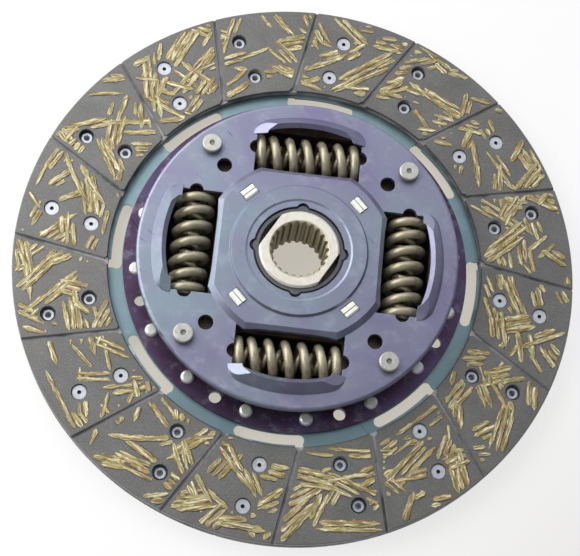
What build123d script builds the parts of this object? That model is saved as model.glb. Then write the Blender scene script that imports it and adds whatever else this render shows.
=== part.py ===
"""Clutch disc with a sprung hub, millimetres.

The origin is on the hub's axis, in the plane of the rear friction face.
+Z points along the axis to the front, the side of the domed plate.
The spring windows lie on +Y, +X, -Y and -X.
A bearing is an angle about the axis, clockwise from +Y as seen from the front.
"""

import os
from math import asin, cos, degrees, hypot, radians, sin, sqrt

from build123d import *

# Facings
facing_width = 40.0
facing_thickness = 3.5
facing_chamfer = 0.4
groove_count = 16
groove_bearing = 16.45
groove_offset = 22.5
groove_width = 1.5
groove_floor_width = 0.9
groove_depth = 1.3
groove_mouth_radius = 1.7

# Cushion ring: eight paddles, each raised to the front facing over its first part
paddle_count = 8
paddle_turn = -6.55
cushion_thickness = 0.7
cushion_wave = 0.8
cushion_outer_margin = 1.4
paddle_gap = 3.5
slot_margin = 1.3
slot_width = 4.4
slot_end_bearing = 18.9
ramp_bearing = 16.0
ramp_width = 5.0

# Facing rivets, in an outer and an inner row on each paddle
outer_row_margin = 13.2
outer_row_bearing = 12.75
inner_row_margin = 8.9
inner_row_bearing = 10.77
facing_web = 1.7
facing_head_radius = 3.2
facing_head_thickness = 0.9
facing_head_round = 0.25
facing_head_dimple = 0.85
facing_dimple_depth = 1.1
facing_shank_radius = 2.0
facing_tail_radius = 2.35
facing_tail_swell = 0.3
facing_tail_height = 2.0
facing_bore_radius = 1.05
facing_bore_web = 0.6
recess_gap = 0.15
rivet_clearance = 0.05

# Rim of the disc plate: rivets to the cushion ring and plain holes between them
disc_rim_margin = 0.5
ring_rivet_margin = 5.6
ring_rivet_bearings = (-2.5, 18.7)
ring_rivet_shank = 1.9
ring_rivet_head = 2.9
ring_rivet_head_height = 1.4
ring_rivet_head_slope = 1.0
ring_rivet_head_edge = 0.4
ring_rivet_tail_height = 1.0
rim_hole_bearing = 30.6
rim_hole_radius = 2.6
cushion_inner_margin = 3.4

# Pressed plates
plate_thickness = 2.5
flange_side_gap = 3.6
front_rim_width = 6.5
front_rim_round = 1.4
disc_rim_width = 5.9

# Main damper springs
outer_spring_length = 44.6
outer_spring_diameter = 18.0
outer_wire_diameter = 3.8
outer_half_turns = 13
outer_end_rise = 1.7
inner_spring_gap = 0.4
inner_wire_diameter = 2.2
inner_half_turns = 21
inner_end_rise = 1.1
ground_depth = 0.6
spring_end_gap = 0.05

# Spring windows, their hoods and the half-round notches at their ends
window_count = 4
window_end_gap = 0.3
window_corner = 1.5
window_inner_margin = 0.1
window_notch_radius = 3.0
hood_foot_gap = 6.9
hood_corner_radius = 7.5
hood_corner_spread = 1.6
hood_taper_length = 9.7
front_hood_height = 4.2
rear_hood_height = 3.2

# Dome of the front plate: a circle cut by four chords, with a raised ring inside
dome_edge = 2.95
dome_spring_gap = 0.5
dome_corner = 4.9
dome_run = 2.4
dome_relief_depth = 0.6
dome_relief_half_length = 12.0
land_width = 5.9
land_slope = 0.8
throat_width = 3.3
throat_drop = 0.4
lug_notch_radius = 2.75
lug_notch_depth = 1.65
tooling_hole_radius = 3.2
tooling_hole_margin = 10.4

# Stop pins, and how far the hub flange turns before it meets them
stop_pin_margin = 7.9
stop_pin_body_radius = 5.0
stop_pin_shank_radius = 3.2
stop_pin_head_radius = 4.25
stop_pin_head_height = 3.1
stop_pin_head_edge = 0.5
stop_pin_dimple_radius = 1.3
stop_pin_dimple_floor = 0.8
stop_pin_dimple_depth = 0.8
drive_angle = 12.0
coast_angle = 9.0
stop_gap = 0.05

# Hub
hub_wall = 4.55
hub_front_proud = 4.0
hub_rear_proud = 4.1
hub_edge = 0.8
hub_flat_depth = 2.3
hub_flat_bearing = -61.0
spline_count = 23
spline_root_radius = 12.35
spline_depth = 1.1
spline_bearing = 6.25
spline_root_width = 1.15
spline_tip_width = 1.9
spline_mouth = 0.25

# Teeth between hub and hub flange, loose enough for the pre-damper to work
lash_tooth_count = 10
lash_tooth_angle = 13.0
lash_angle = 5.0
lash_root_step = 3.1
lash_tooth_height = 3.4
running_gap = 0.08

# Hub flange
flange_thickness = 5.0
flange_rim_step = 2.9
flange_window_inner_gap = 0.8
flange_window_outer_gap = 1.4
flange_window_corner = 1.8

# Pre-damper on the front of the hub flange
cage_inner_gap = 0.6
cage_spring_gap = 2.5
cage_wall = 1.4
cage_side_gap = 0.3
cage_face_gap = 0.2
peg_radius = 1.5
peg_length = 3.0
small_flange_thickness = 1.6
small_spring_length = 11.0
small_spring_diameter = 3.8
small_spring_gap = 0.1
small_wire_diameter = 0.8
small_half_turns = 13
small_end_rise = 0.4
small_ground_depth = 0.1

# Friction ring with split tabs
friction_ring_thickness = 1.0
friction_ring_gap = 0.6
friction_ring_edge = 2.6
friction_ring_chord_gap = 1.0
tab_margin = 4.6
tab_hole_width = 6.9
tab_hole_depth = 5.1
tab_gap = 0.25
tab_slit = 0.35
tab_proud = 0.6
tab_slope = 0.7

# Coned washers, bushes and flat washer
coned_sheet = 0.7
friction_spring_height = 1.9
friction_spring_gap = 0.2
bush_wall = 2.1
bush_step = 0.75
bush_step_depth = 1.6
bush_gap = 0.1
bush_collar_gap = 0.9
bush_collar_height = 1.8
bush_recess = 0.4
lug_radius = 2.6
lug_reach = 2.7
rear_bush_wall = 2.4
rear_bush_collar = 3.2
rear_washer_inner_gap = 2.4
rear_washer_outer_gap = 0.7
rear_washer_thickness = 1.4
axial_gap = 0.1

# Radii, worked out from the hub outwards
hub_nose_radius = spline_root_radius + hub_wall
hub_flat = hub_nose_radius - hub_flat_depth
spline_tip_radius = spline_root_radius - spline_depth
spline_mouth_radius = spline_root_radius + spline_mouth
hub_body_radius = hub_nose_radius + lash_root_step
lash_tip_radius = hub_body_radius + lash_tooth_height
bush_bore_radius = hub_nose_radius + bush_gap
bush_radius = bush_bore_radius + bush_wall
front_bore_radius = bush_radius + bush_gap
land_inner_radius = front_bore_radius + throat_width
land_outer_radius = land_inner_radius + land_width
bush_collar_radius = land_inner_radius - bush_collar_gap
friction_spring_inner = land_inner_radius + bush_collar_gap
friction_spring_outer = land_outer_radius - friction_spring_gap
tab_centre = land_outer_radius + tab_margin
dome_radius = tab_centre + tab_hole_depth / 2 + dome_edge
dome_chord = dome_radius - dome_corner
dome_foot_chord = dome_chord + dome_run
window_inner = dome_chord - window_inner_margin
spring_inner_side = dome_foot_chord + dome_spring_gap
outer_spring_centre = spring_inner_side + outer_spring_diameter / 2
spring_outer_side = outer_spring_centre + outer_spring_diameter / 2
flange_window_inner = spring_inner_side - flange_window_inner_gap
flange_window_outer = spring_outer_side + flange_window_outer_gap
hood_foot_radius = spring_outer_side + hood_foot_gap
front_plate_radius = hood_foot_radius + front_rim_width
stop_pin_centre = front_plate_radius - stop_pin_margin
tooling_hole_centre = stop_pin_centre - tooling_hole_margin
pin_hole_radius = stop_pin_shank_radius + rivet_clearance
flange_radius = front_plate_radius - flange_rim_step
disc_plate_radius = front_plate_radius + disc_rim_width
ring_rivet_radius = disc_plate_radius - ring_rivet_margin
cushion_inner_radius = ring_rivet_radius - cushion_inner_margin
slot_radius = disc_plate_radius + disc_rim_margin + slot_width / 2
facing_inner_radius = slot_radius + slot_width / 2 + slot_margin
facing_outer_radius = facing_inner_radius + facing_width
inner_row_radius = facing_inner_radius + inner_row_margin
outer_row_radius = facing_outer_radius - outer_row_margin
recess_radius = facing_head_radius + recess_gap
cushion_outer_radius = facing_outer_radius - cushion_outer_margin
inner_spring_diameter = outer_spring_diameter - 2 * (outer_wire_diameter + inner_spring_gap)
window_half_length = outer_spring_length / 2 + window_end_gap
rear_bush_radius = bush_bore_radius + rear_bush_wall
rear_bush_collar_radius = rear_bush_radius + rear_bush_collar
rear_washer_inner = rear_bush_collar_radius + rear_washer_inner_gap
rear_washer_outer = flange_window_inner - rear_washer_outer_gap
cage_inner_radius = lash_tip_radius + cage_inner_gap
cage_outer_radius = spring_inner_side - cage_spring_gap
small_flange_radius = cage_outer_radius - cage_wall - cage_side_gap
small_spring_centre = (cage_inner_radius + cage_outer_radius - cage_wall) / 2
peg_centre = (lash_tip_radius + flange_window_inner) / 2

# Heights, worked out from the rear friction face forwards
rear_cushion_low = facing_thickness
rear_cushion_high = rear_cushion_low + cushion_thickness
front_cushion_low = rear_cushion_low + cushion_wave
front_facing_low = front_cushion_low + cushion_thickness
disc_plate_low = rear_cushion_high
disc_plate_high = disc_plate_low + plate_thickness
flange_low = disc_plate_high + flange_side_gap
flange_high = flange_low + flange_thickness
mid_height = (flange_low + flange_high) / 2
front_plate_low = flange_high + flange_side_gap
front_plate_high = front_plate_low + plate_thickness
cage_channel = small_flange_thickness + 2 * cage_face_gap
cage_height = small_spring_diameter + 2 * small_spring_gap
cage_cheek = (cage_height - cage_channel) / 2
cage_channel_low = flange_high + cage_cheek
cage_channel_high = cage_channel_low + cage_channel
cover_high = flange_high + cage_height
small_spring_height = flange_high + cage_height / 2
small_flange_low = cage_channel_low + cage_face_gap
small_flange_high = small_flange_low + small_flange_thickness
friction_ring_high = cover_high + friction_ring_thickness
dome_under = friction_ring_high + friction_ring_gap
dome_rise = dome_under - front_plate_low
land_under = friction_ring_high + friction_spring_height
land_rise = land_under - dome_under
throat_under = land_under - throat_drop
hub_rear = disc_plate_low - hub_rear_proud
hub_front = front_plate_high + hub_front_proud

pin_bearing = 45 + (drive_angle - coast_angle) / 2
window_pitch = 360 / window_count
paddle_pitch = 360 / paddle_count
fit_gap = 0.05
overcut = 1.0
through = hub_front + overcut


def turn(bearing):
    """Turn about the axis from +Y to a bearing."""
    return Rot(0, 0, -bearing)


def place(radius, bearing, height=0.0):
    """Point at a radius and bearing."""
    return Pos(radius * sin(radians(bearing)), radius * cos(radians(bearing)), height)


def around(piece, count):
    """Copies of a piece, evenly spaced about the axis."""
    return [turn(number * 360 / count) * piece for number in range(count)]


def ring(outer, inner, low, high):
    """Plain ring between two heights."""
    return Pos(0, 0, low) * extrude(Circle(outer) - Circle(inner), high - low)


def post(radius, low, high):
    """Upright cylinder between two heights."""
    return Pos(0, 0, low) * extrude(Circle(radius), high - low)


def turned(points, angle=360.0):
    """Solid turned about the axis from (radius, height) points."""
    return revolve(Plane.XZ * make_face(Polyline(*points, close=True)), Axis.Z, angle)


def sector(outer, inner, angle, low, high):
    """Part of a ring, as wide as an angle and centred on +Y."""
    part = turned([(inner, low), (outer, low), (outer, high), (inner, high)], angle)
    return Rot(0, 0, 90 - angle / 2) * part


def bar(points, start, end):
    """Prism with an (x, z) outline that runs along Y."""
    return extrude(Plane.XZ.offset(-start) * make_face(Polyline(*points, close=True)), start - end)


def block(half_width, y_low, y_high, low, high):
    """Box centred on the YZ plane."""
    outline = [(-half_width, low), (half_width, low), (half_width, high), (-half_width, high)]
    return bar(outline, y_low, y_high)


def frustum(radius, chord, run, low, high):
    """Circle cut by four chords that shrinks by a run from one height to the other."""
    height = high - low
    cone = Pos(0, 0, low + height / 2) * Cone(radius, radius - run, height)
    foot = Pos(0, 0, low) * Rectangle(2 * chord, 2 * chord)
    top = Pos(0, 0, high) * Rectangle(2 * (chord - run), 2 * (chord - run))
    return cone & loft([foot, top], ruled=True)


def rivet_places(side):
    """Places on the paddles: side 1 is a facing's own rivets, side -1 the other facing's."""
    rows = ((outer_row_radius, outer_row_bearing), (inner_row_radius, inner_row_bearing))
    return [place(radius, paddle * paddle_pitch + side * bearing)
            for paddle in range(paddle_count) for radius, bearing in rows]


def facing():
    """One facing with its friction face up and its back at zero."""
    body = turned([
        (facing_inner_radius, 0),
        (facing_outer_radius, 0),
        (facing_outer_radius, facing_thickness - facing_chamfer),
        (facing_outer_radius - facing_chamfer, facing_thickness),
        (facing_inner_radius + facing_chamfer, facing_thickness),
        (facing_inner_radius, facing_thickness - facing_chamfer),
    ])
    floor = facing_thickness - groove_depth
    groove = Pos(-groove_offset, 0, 0) * bar([
        (-groove_floor_width / 2, floor),
        (groove_floor_width / 2, floor),
        (groove_width / 2, facing_thickness),
        (groove_width / 2, facing_thickness + overcut),
        (-groove_width / 2, facing_thickness + overcut),
        (-groove_width / 2, facing_thickness),
    ], facing_inner_radius / 2, facing_outer_radius + overcut)
    mouth_bearing = -degrees(asin(groove_offset / facing_inner_radius))
    mouth = place(facing_inner_radius, mouth_bearing) * post(
        groove_mouth_radius, floor, facing_thickness + overcut)
    cuts = around(turn(groove_bearing) * groove, groove_count)
    cuts += around(turn(groove_bearing) * mouth, groove_count)
    shank_hole = post(facing_shank_radius + rivet_clearance, -overcut, facing_thickness)
    recess = post(recess_radius, facing_web, facing_thickness + overcut)
    access = post(recess_radius, -overcut, facing_thickness + overcut)
    for spot in rivet_places(1):
        cuts += [spot * shank_hole, spot * recess]
    for spot in rivet_places(-1):
        cuts.append(spot * access)
    return body - cuts


def facing_rivets():
    """Tubular rivets of a facing that lies face up with its back at zero."""
    head_high = facing_web + facing_head_thickness
    dimple = head_high - facing_dimple_depth
    back = -cushion_thickness
    tail_low = back - facing_tail_height
    swell = back - facing_tail_height / 2
    bore_end = dimple - facing_bore_web
    rivet = turned([
        (0, bore_end),
        (0, dimple),
        (facing_head_dimple, dimple),
        (facing_head_dimple, head_high),
        (facing_head_radius - facing_head_round, head_high),
        (facing_head_radius, head_high - facing_head_round),
        (facing_head_radius, facing_web),
        (facing_shank_radius, facing_web),
        (facing_shank_radius, back),
        (facing_tail_radius, back),
        (facing_tail_radius + facing_tail_swell, swell),
        (facing_tail_radius, tail_low),
        (facing_bore_radius + facing_tail_swell, tail_low),
        (facing_bore_radius, swell),
        (facing_bore_radius, bore_end),
    ])
    return [spot * rivet for spot in rivet_places(1)]


front_seat = Pos(0, 0, front_facing_low) * turn(paddle_turn)
rear_seat = turn(paddle_turn) * Pos(0, 0, facing_thickness) * Rot(0, 180, 0)


def cushion_ring():
    """Spring steel ring whose slots part it into paddles, each stepped once."""
    low, high = rear_cushion_low - overcut, front_facing_low + overcut
    slot_outer = slot_radius + slot_width / 2
    sheet = bar([
        (-cushion_outer_radius, front_cushion_low),
        (-ramp_width / 2, front_cushion_low),
        (ramp_width / 2, rear_cushion_low),
        (cushion_outer_radius, rear_cushion_low),
        (cushion_outer_radius, rear_cushion_high),
        (ramp_width / 2, rear_cushion_high),
        (-ramp_width / 2, front_facing_low),
        (-cushion_outer_radius, front_facing_low),
    ], 0, cushion_outer_radius + overcut)
    cell = sector(cushion_outer_radius, slot_outer - cushion_thickness / 2, paddle_pitch, low, high)
    paddle = (turn(paddle_pitch / 2) * cell) & (turn(ramp_bearing) * sheet)
    body = ring(slot_outer, cushion_inner_radius, rear_cushion_low, rear_cushion_high)
    body = body + around(paddle, paddle_count)
    slot_line = CenterArc((0, 0), slot_radius, 90 - slot_end_bearing, slot_end_bearing)
    ring_hole = post(ring_rivet_shank + rivet_clearance, low, high)
    cut = [
        block(paddle_gap / 2, slot_radius, cushion_outer_radius + overcut, low, high),
        Pos(0, 0, low) * extrude(SlotArc(slot_line, slot_width), high - low),
        place(ring_rivet_radius, rim_hole_bearing) * post(rim_hole_radius, low, high),
    ]
    cut += [place(ring_rivet_radius, bearing) * ring_hole for bearing in ring_rivet_bearings]
    cuts = [copy for piece in cut for copy in around(piece, paddle_count)]
    hole = post(facing_shank_radius + rivet_clearance, low, high)
    cuts += [spot * hole for spot in rivet_places(1) + rivet_places(-1)]
    return turn(paddle_turn) * (body - cuts)


def cushion_ring_rivets():
    """Rivets with a raised head at both ends that hold the cushion ring on the disc plate."""
    low = rear_cushion_low - ring_rivet_tail_height
    high = disc_plate_high + ring_rivet_head_height
    rivet = turned([
        (0, low),
        (ring_rivet_head - ring_rivet_head_slope, low),
        (ring_rivet_head, low + ring_rivet_head_edge),
        (ring_rivet_head, rear_cushion_low),
        (ring_rivet_shank, rear_cushion_low),
        (ring_rivet_shank, disc_plate_high),
        (ring_rivet_head, disc_plate_high),
        (ring_rivet_head, high - ring_rivet_head_slope),
        (ring_rivet_head - ring_rivet_head_edge, high - ring_rivet_head_edge),
        (ring_rivet_head - ring_rivet_head_slope, high),
        (0, high),
    ])
    return [copy for bearing in ring_rivet_bearings
            for copy in around(place(ring_rivet_radius, paddle_turn + bearing) * rivet, paddle_count)]


def hood_section(height, centre):
    """Section of a hood, bent up at 45 degrees, with radii counted from a centre."""
    foot = hood_foot_radius - centre
    edge = plate_thickness / sqrt(2)
    under = foot + plate_thickness - plate_thickness * sqrt(2)
    return [
        (foot, plate_thickness),
        (foot - height, plate_thickness + height),
        (foot - height - edge, plate_thickness + height - edge),
        (under, 0),
        (foot, 0),
    ]


def space_section(height, centre, inner):
    """Section of the space under a hood, out from an inner radius, with radii counted from a centre."""
    edge, under = hood_section(height, centre)[2:4]
    return [
        (inner, -overcut),
        (under[0] + overcut, -overcut),
        edge,
        (edge[0], plate_thickness + height + overcut),
        (inner, plate_thickness + height + overcut),
    ]


def hood_and_opening(height):
    """Hood over one window on +Y and the space to cut for it, inner face of the plate at zero.

    The hood follows an arc about the hub's axis and a small arc at each corner
    of the window, and is trimmed down to nothing at its ends.
    """
    top = plate_thickness + height
    corner_centre = hood_foot_radius - hood_corner_radius
    corner_x = window_half_length - hood_corner_radius + hood_corner_spread
    spread = degrees(asin(corner_x / corner_centre))
    corner_y = corner_centre * cos(radians(spread))
    arc_seat = Rot(0, 0, 90 - spread)
    corner_seat = Pos(corner_x, corner_y, 0)
    hood_end = corner_seat * turned(hood_section(height, corner_centre), 90 - spread)
    taper_end = window_half_length + hood_corner_spread
    trim = bar([
        (taper_end - hood_taper_length, top),
        (taper_end + height, top),
        (taper_end + height, plate_thickness),
        (taper_end, plate_thickness),
    ], window_inner, hood_foot_radius)
    hood = arc_seat * turned(hood_section(height, 0), 2 * spread)
    hood = hood + [hood_end, mirror(hood_end, Plane.YZ)] - [trim, mirror(trim, Plane.YZ)]
    plan = Rectangle(2 * window_half_length, corner_y - window_inner)
    plan = fillet(plan.vertices().group_by(Axis.Y)[0], window_corner)
    window = Pos(0, (corner_y + window_inner) / 2, -overcut) * extrude(plan, top + 2 * overcut)
    corner_space = corner_seat * turned(space_section(height, corner_centre, 0))
    arc_inner = window_inner / cos(radians(spread))
    opening = arc_seat * turned(space_section(height, 0, arc_inner), 2 * spread)
    opening = opening + [corner_space, mirror(corner_space, Plane.YZ), window]
    notch = Pos(outer_spring_length / 2, outer_spring_centre, 0) * post(window_notch_radius, -overcut, top)
    return hood, opening + [notch, mirror(notch, Plane.YZ)]


def windowed(plate, height):
    """Plate with its windows cut and its hoods raised, inner face at zero."""
    hood, opening = hood_and_opening(height)
    return plate - around(opening, window_count) + around(hood, window_count)


def front_plate():
    """Front plate with dome, windows, hoods and holes."""
    disc = post(front_plate_radius, 0, plate_thickness)
    rim = disc.edges().filter_by(GeomType.CIRCLE).sort_by(Axis.Z)[-1]
    plate = windowed(fillet(rim, front_rim_round), front_hood_height)
    foot_radius = dome_radius + dome_run
    dome_high = plate_thickness + dome_rise
    land_high = dome_high + land_rise
    foot = extrude(Circle(foot_radius) & Rectangle(2 * dome_foot_chord, 2 * dome_foot_chord), plate_thickness)
    dome = frustum(foot_radius, dome_foot_chord, dome_run, plate_thickness, dome_high)
    land = turned([
        (0, dome_high),
        (land_outer_radius + land_slope, dome_high),
        (land_outer_radius, land_high),
        (land_inner_radius, land_high),
        (land_inner_radius - land_slope, land_high - throat_drop),
        (0, land_high - throat_drop),
    ])
    chord_end = sqrt(foot_radius ** 2 - dome_foot_chord ** 2)
    relief = make_face(Polyline(
        (-chord_end, dome_foot_chord),
        (-dome_relief_half_length, dome_foot_chord - dome_relief_depth),
        (dome_relief_half_length, dome_foot_chord - dome_relief_depth),
        (chord_end, dome_foot_chord),
        close=True))
    inset = plate_thickness * (hypot(dome_run, dome_rise) - dome_run) / dome_rise
    cavity = frustum(foot_radius - inset, dome_foot_chord - inset, dome_run, 0, dome_rise)
    hollow = turned([
        (0, dome_rise),
        (land_outer_radius, dome_rise),
        (land_outer_radius, dome_rise + land_rise),
        (land_inner_radius - land_slope / 2, dome_rise + land_rise),
        (land_inner_radius - land_slope / 2, dome_rise + land_rise - throat_drop),
        (0, dome_rise + land_rise - throat_drop),
    ])
    tab_hole = block(tab_hole_width / 2, tab_centre - tab_hole_depth / 2, tab_centre + tab_hole_depth / 2,
                     -overcut, through)
    lug_notch = post(lug_notch_radius, -overcut, through)
    lug_notch_centre = front_bore_radius + lug_notch_depth - lug_notch_radius
    cuts = [cavity, hollow, post(front_bore_radius, -overcut, through)]
    for cut in (
        extrude(relief, dome_high),
        place(lug_notch_centre, 0) * lug_notch,
        place(tooling_hole_centre, 45) * post(tooling_hole_radius, -overcut, through),
        turn(45) * tab_hole,
        place(stop_pin_centre, pin_bearing) * post(pin_hole_radius, -overcut, through),
    ):
        cuts += around(cut, window_count)
    return Pos(0, 0, front_plate_low) * (plate + [foot, dome, land] - cuts)


def disc_plate():
    """Rear plate, with its hoods to the rear, that carries the cushion ring."""
    plate = windowed(post(disc_plate_radius, 0, plate_thickness), rear_hood_height)
    plate = Pos(0, 0, disc_plate_high) * Rot(0, 180, 0) * plate
    pin_hole = place(stop_pin_centre, pin_bearing) * post(pin_hole_radius, -overcut, through)
    rim_hole = post(rim_hole_radius, -overcut, through)
    rim_hole = place(ring_rivet_radius, paddle_turn + rim_hole_bearing) * rim_hole
    rivet_hole = post(ring_rivet_shank + rivet_clearance, -overcut, through)
    cuts = [post(rear_bush_radius + fit_gap, -overcut, through)]
    cuts += around(pin_hole, window_count) + around(rim_hole, paddle_count)
    for bearing in ring_rivet_bearings:
        cuts += around(place(ring_rivet_radius, paddle_turn + bearing) * rivet_hole, paddle_count)
    return plate - cuts


def stop_pin():
    """Shouldered pin riveted over at both ends, at the first pin's place."""
    low = disc_plate_low - stop_pin_head_height
    high = front_plate_high + stop_pin_head_height
    pin = turned([
        (0, low),
        (stop_pin_head_radius - stop_pin_head_edge, low),
        (stop_pin_head_radius, low + stop_pin_head_edge),
        (stop_pin_head_radius, disc_plate_low),
        (stop_pin_shank_radius, disc_plate_low),
        (stop_pin_shank_radius, disc_plate_high),
        (stop_pin_body_radius, disc_plate_high),
        (stop_pin_body_radius, front_plate_low),
        (stop_pin_shank_radius, front_plate_low),
        (stop_pin_shank_radius, front_plate_high),
        (stop_pin_head_radius, front_plate_high),
        (stop_pin_head_radius, high - stop_pin_head_edge),
        (stop_pin_head_radius - stop_pin_head_edge, high),
        (stop_pin_dimple_radius, high),
        (stop_pin_dimple_floor, high - stop_pin_dimple_depth),
        (0, high - stop_pin_dimple_depth),
    ])
    return place(stop_pin_centre, pin_bearing) * pin


def coil_spring(diameter, wire, length, half_turns, end_rise, grind, hand):
    """Coil spring along X, centred at the origin, its ends squared and ground.

    Each half turn is half a torus on a tilted chord. Neighbours meet at the
    same level section, so the wire runs on smoothly.
    hand is 1 for a right-hand coil and -1 for a left-hand one.
    """
    start = -length / 2 + wire / 2 - grind
    rise = (-2 * start - 2 * end_rise) / (half_turns - 2)
    coil_radius = sqrt((diameter - wire) ** 2 - rise ** 2) / 2
    pieces = []
    for number in range(half_turns):
        step = end_rise if number in (0, half_turns - 1) else rise
        side = 1 if number % 2 == 0 else -1
        first = Vector(start, hand * side * coil_radius, 0)
        last = Vector(start + step, -hand * side * coil_radius, 0)
        spin = Vector(0, 0, side).cross((last - first).normalized())
        section = Pos(*first) * Circle(wire / 2)
        pieces.append(revolve(section, Axis((first + last) * 0.5, spin), 180))
        start += step
    return (pieces[0] + pieces[1:]) & Box(length, 2 * diameter, 2 * diameter)


def hub():
    """Splined hub with two flats on its nose and the lash teeth round its middle."""
    mouth = spline_mouth_radius - spline_tip_radius
    body = turned([
        (spline_mouth_radius, hub_rear),
        (hub_nose_radius - hub_edge, hub_rear),
        (hub_nose_radius, hub_rear + hub_edge),
        (hub_nose_radius, flange_low),
        (hub_body_radius, flange_low),
        (hub_body_radius, flange_high),
        (hub_nose_radius, flange_high),
        (hub_nose_radius, hub_front - hub_edge),
        (hub_nose_radius - hub_edge, hub_front),
        (spline_mouth_radius, hub_front),
        (spline_tip_radius, hub_front - mouth),
        (spline_tip_radius, hub_rear + mouth),
    ])
    tooth = sector(lash_tip_radius, hub_nose_radius, lash_tooth_angle, flange_low, flange_high)
    body = body + around(tooth, lash_tooth_count)
    side = block(hub_body_radius, hub_flat, hub_body_radius, small_flange_low, hub_front + overcut)
    body = body - [turn(hub_flat_bearing) * side, turn(hub_flat_bearing + 180) * side]
    groove = make_face(Polyline(
        (-spline_tip_width / 2, spline_tip_radius - overcut),
        (-spline_tip_width / 2, spline_tip_radius),
        (-spline_root_width / 2, spline_root_radius),
        (spline_root_width / 2, spline_root_radius),
        (spline_tip_width / 2, spline_tip_radius),
        (spline_tip_width / 2, spline_tip_radius - overcut),
        close=True))
    groove = Pos(0, 0, hub_rear - overcut) * extrude(groove, hub_front - hub_rear + 2 * overcut)
    return body - around(turn(spline_bearing) * groove, spline_count)


def hub_flange():
    """Driven plate with windows for the springs and open notches for the stop pins."""
    low, high = flange_low - overcut, flange_high + overcut
    tooth_angle = 360 / lash_tooth_count - lash_tooth_angle - 2 * lash_angle
    tooth = sector(lash_tip_radius + overcut, hub_body_radius + running_gap, tooth_angle,
                   flange_low, flange_high)
    body = ring(flange_radius, lash_tip_radius + running_gap, flange_low, flange_high)
    body = body + around(turn(180 / lash_tooth_count) * tooth, lash_tooth_count)
    window = Rectangle(outer_spring_length + 2 * spring_end_gap, flange_window_outer - flange_window_inner)
    window = extrude(fillet(window.vertices(), flange_window_corner), flange_thickness + 2 * overcut)
    window = Pos(0, (flange_window_outer + flange_window_inner) / 2, low) * window
    half_range = (drive_angle + coast_angle) / 2
    reach = stop_pin_body_radius + stop_gap
    far = flange_radius + overcut
    notch = sector(far, stop_pin_centre - reach, 2 * half_range, low, high)
    lane = block(reach, stop_pin_centre, far, low, high) + place(stop_pin_centre, 0) * post(reach, low, high)
    notch = notch + [turn(half_range) * lane, turn(-half_range) * lane]
    peg_hole = place(peg_centre, 45) * post(peg_radius + rivet_clearance, low, high)
    cuts = around(window, window_count) + around(turn(45) * notch, window_count)
    return body - cuts - around(peg_hole, window_count)


def small_windows(low, high):
    """Cutters for the pre-damper's spring windows."""
    half_width = small_spring_diameter / 2 + small_spring_gap
    window = block(small_spring_length / 2 + spring_end_gap, small_spring_centre - half_width,
                   small_spring_centre + half_width, low, high)
    return around(window, window_count)


def predamper_cage():
    """Moulded cage that is pegged to the hub flange."""
    body = ring(cage_outer_radius, cage_inner_radius, flange_high, cage_channel_low)
    wall = ring(cage_outer_radius, cage_outer_radius - cage_wall, cage_channel_low, cage_channel_high)
    peg = place(peg_centre, 45) * post(peg_radius, flange_high - peg_length, flange_high)
    return body + [wall] + around(peg, window_count) - small_windows(flange_high - overcut, cage_channel_high)


def predamper_cover():
    """Flat moulded ring that closes the cage."""
    body = ring(cage_outer_radius, cage_inner_radius, cage_channel_high, cover_high)
    return body - small_windows(cage_channel_high - overcut, cover_high + overcut)


def predamper_flange():
    """Thin plate keyed on the hub's flats that drives the small springs."""
    low, high = small_flange_low - overcut, small_flange_high + overcut
    body = post(small_flange_radius, small_flange_low, small_flange_high)
    across = Rectangle(4 * hub_nose_radius, 2 * (hub_flat + fit_gap))
    bore = Circle(hub_nose_radius + fit_gap) & (turn(hub_flat_bearing) * across)
    bore = Pos(0, 0, low) * extrude(bore, high - low)
    return body - bore - small_windows(low, high)


def friction_ring():
    """Moulded ring whose split tabs pass through the dome."""
    chord = dome_chord - friction_ring_chord_gap
    plan = Circle(tab_centre + friction_ring_edge) & Rectangle(2 * chord, 2 * chord)
    body = Pos(0, 0, cover_high) * extrude(plan - Circle(cage_inner_radius), friction_ring_thickness)
    half_width = tab_hole_width / 2 - tab_gap
    far = tab_hole_depth / 2 - tab_gap
    top = dome_under + plate_thickness + tab_proud
    leg = Pos(0, tab_centre, 0) * Rot(0, 0, 90) * bar([
        (tab_slit / 2, cover_high),
        (far, cover_high),
        (far, top - tab_slope),
        (far - tab_slope, top),
        (tab_slit / 2, top),
    ], -half_width, half_width)
    other_leg = mirror(leg, Plane.XZ.offset(-tab_centre))
    return body + around(turn(45) * leg, window_count) + around(turn(45) * other_leg, window_count)


def friction_spring():
    """Coned washer between the friction ring and the raised ring of the dome."""
    return turned([
        (friction_spring_outer, friction_ring_high),
        (friction_spring_outer, friction_ring_high + coned_sheet),
        (friction_spring_inner, land_under),
        (friction_spring_inner, land_under - coned_sheet),
    ])


def centring_bush():
    """Stepped bush with four lugs that centres the front plate on the hub's nose."""
    low = small_flange_high + axial_gap
    high = throat_under + plate_thickness - bush_recess
    collar_low = throat_under - bush_collar_height
    step_low = high - bush_step_depth
    body = ring(bush_radius, bush_bore_radius, low, step_low)
    body = body + ring(bush_radius - bush_step, bush_bore_radius, step_low, high)
    body = body + ring(bush_collar_radius, bush_bore_radius, collar_low, throat_under)
    lug = place(hub_nose_radius + lug_reach - lug_radius, 0) * post(lug_radius, collar_low, high)
    return body + around(lug, window_count) - post(bush_bore_radius, low - overcut, high + overcut)


def rear_bush():
    """Collared bush that carries the hub in the disc plate."""
    body = ring(rear_bush_radius, bush_bore_radius, disc_plate_low, disc_plate_high)
    return body + ring(rear_bush_collar_radius, bush_bore_radius, disc_plate_high, flange_low - axial_gap)


def rear_friction_washer():
    """Flat washer that rubs on the rear of the hub flange."""
    return ring(rear_washer_outer, rear_washer_inner, flange_low - rear_washer_thickness, flange_low)


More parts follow.
